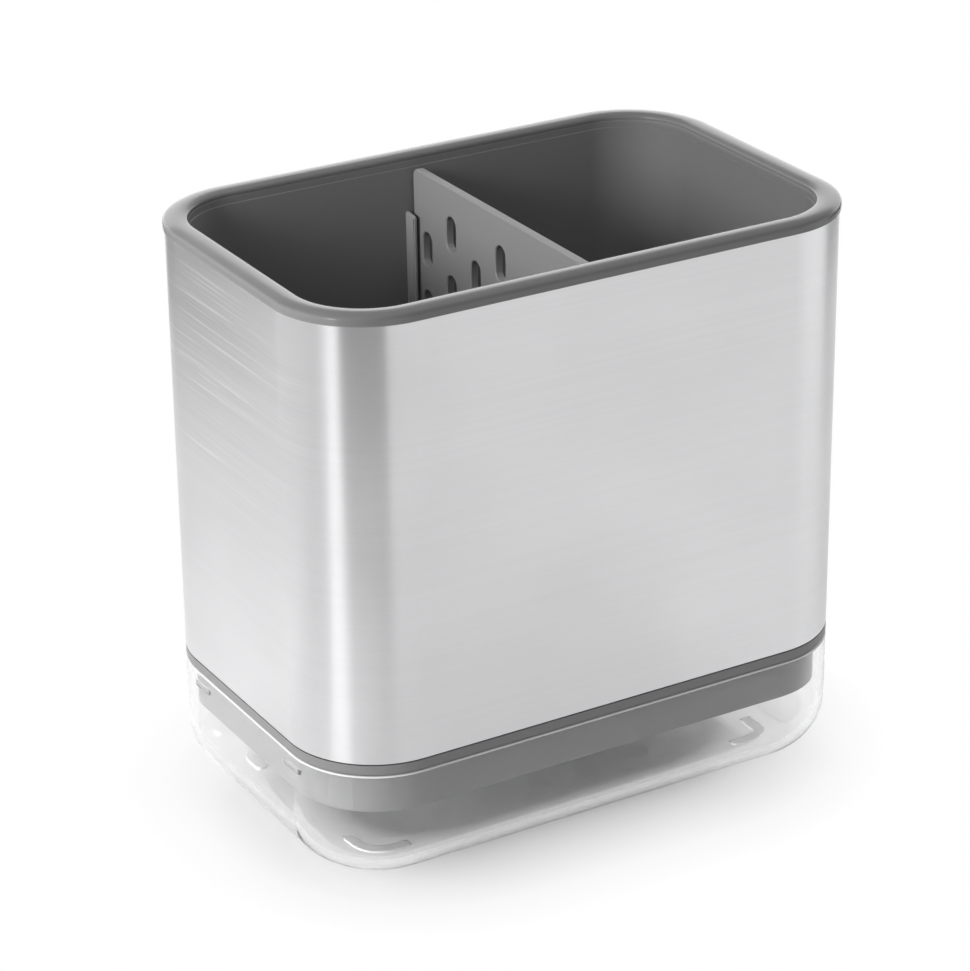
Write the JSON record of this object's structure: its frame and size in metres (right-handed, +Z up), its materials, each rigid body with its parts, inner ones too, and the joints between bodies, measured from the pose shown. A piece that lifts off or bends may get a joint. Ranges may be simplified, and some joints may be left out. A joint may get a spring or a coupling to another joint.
{
  "type": "kitchen sink caddy",
  "caption": "Steel-wrapped sink caddy: a grey tub with a lift-out slotted divider and a rounded rim, standing on a clear lift-off drip tray with corner pads.",
  "frame": {"origin": "centre of the footprint on the counter the pads stand on", "axes": "+Z up, +X along the long walls, -Y towards the long wall taken as the front"},
  "size_m": [0.166, 0.108, 0.163],
  "materials": {
    "brushed_steel": "satin, brushed along the walls",
    "rim_plastic": "satin",
    "liner_plastic": "fine satin",
    "collar_plastic": "fine satin",
    "divider_plastic": "fine satin",
    "clear_plastic": "clear, polished",
    "pad_rubber": "translucent, matte"
  },
  "bodies": {
    "tray": {"drip_tray": "clear_plastic", "foot_pad_front_left": "pad_rubber", "foot_pad_front_right": "pad_rubber", "foot_pad_back_left": "pad_rubber", "foot_pad_back_right": "pad_rubber"},
    "caddy": {"steel_sleeve": "brushed_steel", "rim_ring": "rim_plastic", "liner": "liner_plastic", "base_collar": "collar_plastic"},
    "divider": {"divider": "divider_plastic"}
  },
  "joints": [
    {"name": "caddy_lift", "type": "slide", "parent": "tray", "child": "caddy", "axis": [0, 0, 1], "range_m": [0, 0.06]},
    {"name": "divider_lift", "type": "slide", "parent": "caddy", "child": "divider", "axis": [0, 0, 1], "range_m": [0, 0.145]}
  ]
}
